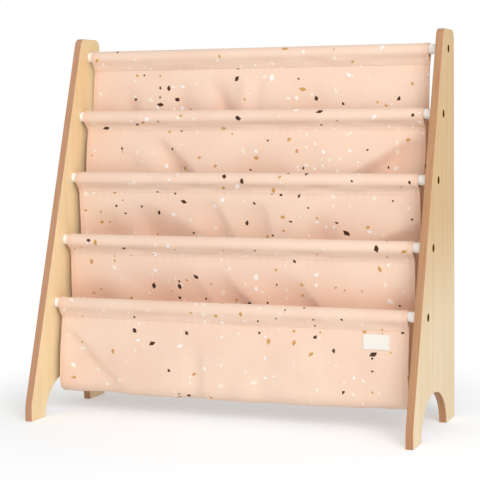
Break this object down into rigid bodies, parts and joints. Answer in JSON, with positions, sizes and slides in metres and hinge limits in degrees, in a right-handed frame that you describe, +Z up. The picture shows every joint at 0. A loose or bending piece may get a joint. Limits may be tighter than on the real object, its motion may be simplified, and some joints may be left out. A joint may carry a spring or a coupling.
{
  "type": "sling bookshelf",
  "caption": "Children's sling bookshelf: two slanted wooden side panels joined by round rods, with stepped fabric pockets that hold picture books face on.",
  "frame": {"origin": "on the floor, in the middle of the rack's width and depth", "axes": "+X along the rods to the side that the picture shows from outside, +Y to the rack's upright back, +Z up; the pockets face -Y"},
  "size_m": [0.62, 0.252, 0.6],
  "materials": {
    "panel_wood": "satin clear varnish on pale wood, tan edges",
    "rod_paint": "white powder coat",
    "plug_nylon": "moulded nylon",
    "bolt_bronze": "bronze plated",
    "sling_canvas": "blush cotton canvas with terrazzo speckles",
    "label_cloth": "blank woven label"
  },
  "bodies": {
    "root": {"left_side_panel": "panel_wood", "right_side_panel": "panel_wood", "rod_1": "rod_paint", "rod_2": "rod_paint", "rod_3": "rod_paint", "rod_4": "rod_paint", "rod_5": "rod_paint", "plug_left_1": "plug_nylon", "plug_left_2": "plug_nylon", "plug_left_3": "plug_nylon", "plug_left_4": "plug_nylon", "plug_left_5": "plug_nylon", "plug_right_1": "plug_nylon", "plug_right_2": "plug_nylon", "plug_right_3": "plug_nylon", "plug_right_4": "plug_nylon", "plug_right_5": "plug_nylon", "bolt_left_1": "bolt_bronze", "bolt_left_2": "bolt_bronze", "bolt_left_3": "bolt_bronze", "bolt_left_4": "bolt_bronze", "bolt_left_5": "bolt_bronze", "bolt_right_1": "bolt_bronze", "bolt_right_2": "bolt_bronze", "bolt_right_3": "bolt_bronze", "bolt_right_4": "bolt_bronze", "bolt_right_5": "bolt_bronze", "sling_1": "sling_canvas", "sling_2": "sling_canvas", "sling_3": "sling_canvas", "sling_4": "sling_canvas", "label": "label_cloth"}
  },
  "joints": []
}
